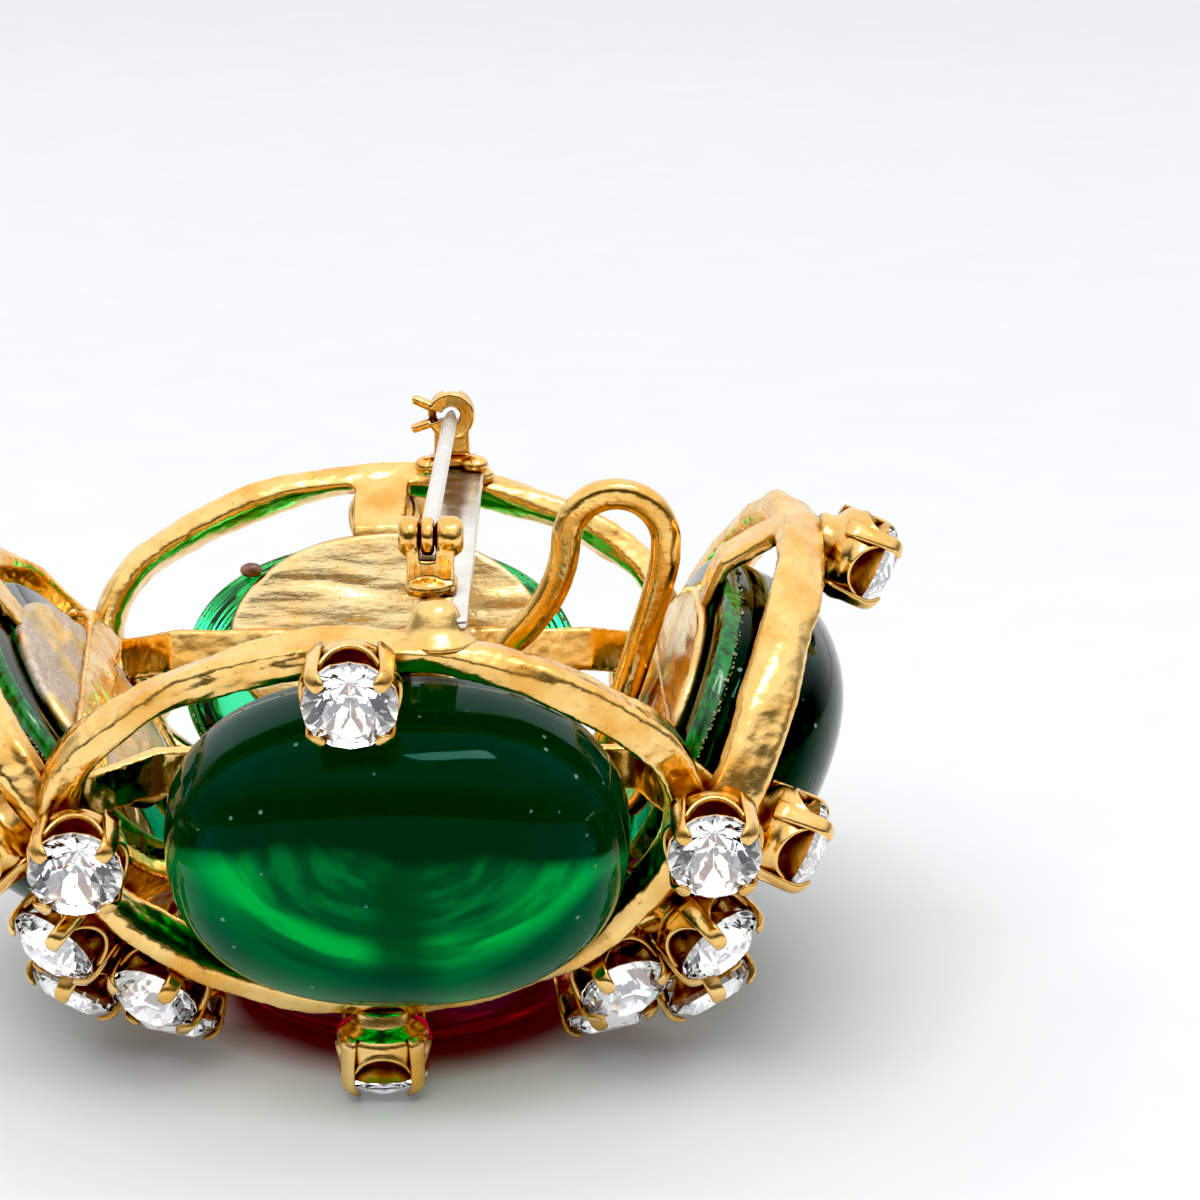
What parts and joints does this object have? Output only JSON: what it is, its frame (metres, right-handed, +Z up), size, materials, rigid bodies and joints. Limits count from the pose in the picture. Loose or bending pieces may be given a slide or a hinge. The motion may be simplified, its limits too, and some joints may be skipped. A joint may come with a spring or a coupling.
{
  "type": "pendant brooch",
  "caption": "Domed pendant brooch lying face down: open oval petals with green glass, a red glass centre, clear stones, a hook and a hinged pin.",
  "frame": {"origin": "on the table, under the middle of the bounding box", "axes": "+Z up from the table, out of the brooch's back; -Y towards the front petal of the picture; +X towards the petal with the hook"},
  "size_m": [0.0778, 0.0658, 0.0417],
  "materials": {
    "antique_gold": "polished, antique gold plated, lightly hammered",
    "silver_metal": "satin",
    "green_glass": "polished, emerald green",
    "red_glass": "polished, ruby red",
    "crystal": "polished, clear with a foiled back"
  },
  "bodies": {
    "brooch": {"frame_front": "antique_gold", "frame_right": "antique_gold", "frame_back": "antique_gold", "frame_left": "antique_gold", "centre_mount": "antique_gold", "cluster_front_left": "antique_gold", "cluster_front_right": "antique_gold", "cluster_back_right": "antique_gold", "cluster_back_left": "antique_gold", "hook": "antique_gold", "pin_bar": "silver_metal", "cabochon_front": "green_glass", "cabochon_right": "green_glass", "cabochon_back": "green_glass", "cabochon_left": "green_glass", "cabochon_centre": "red_glass", "stone_front_tip": "crystal", "stone_front_end_a": "crystal", "stone_front_end_b": "crystal", "stone_front_base": "crystal", "stone_right_tip": "crystal", "stone_right_end_a": "crystal", "stone_right_end_b": "crystal", "stone_right_base": "crystal", "stone_back_tip": "crystal", "stone_back_end_a": "crystal", "stone_back_end_b": "crystal", "stone_back_base": "crystal", "stone_left_tip": "crystal", "stone_left_end_a": "crystal", "stone_left_end_b": "crystal", "stone_left_base": "crystal", "stone_front_left_1": "crystal", "stone_front_left_2": "crystal", "stone_front_left_3": "crystal", "stone_front_left_4": "crystal", "stone_front_right_1": "crystal", "stone_front_right_2": "crystal", "stone_front_right_3": "crystal", "stone_front_right_4": "crystal", "stone_back_right_1": "crystal", "stone_back_right_2": "crystal", "stone_back_right_3": "crystal", "stone_back_right_4": "crystal", "stone_back_left_1": "crystal", "stone_back_left_2": "crystal", "stone_back_left_3": "crystal", "stone_back_left_4": "crystal"},
    "pin": {"pin_stem": "silver_metal"},
    "catch": {"catch_collar": "antique_gold"}
  },
  "joints": [
    {"name": "pin_hinge", "type": "hinge", "parent": "brooch", "child": "pin", "pos_m": [0.00474, -0.0174, 0.04034], "axis": [0.9998, -0.0209, 0], "range_deg": [0, 80]},
    {"name": "catch_turn", "type": "hinge", "parent": "brooch", "child": "catch", "pos_m": [0.00592, 0.02387, 0.03894], "axis": [0.0209, 0.9988, -0.0436], "range_deg": [0, 90]}
  ]
}
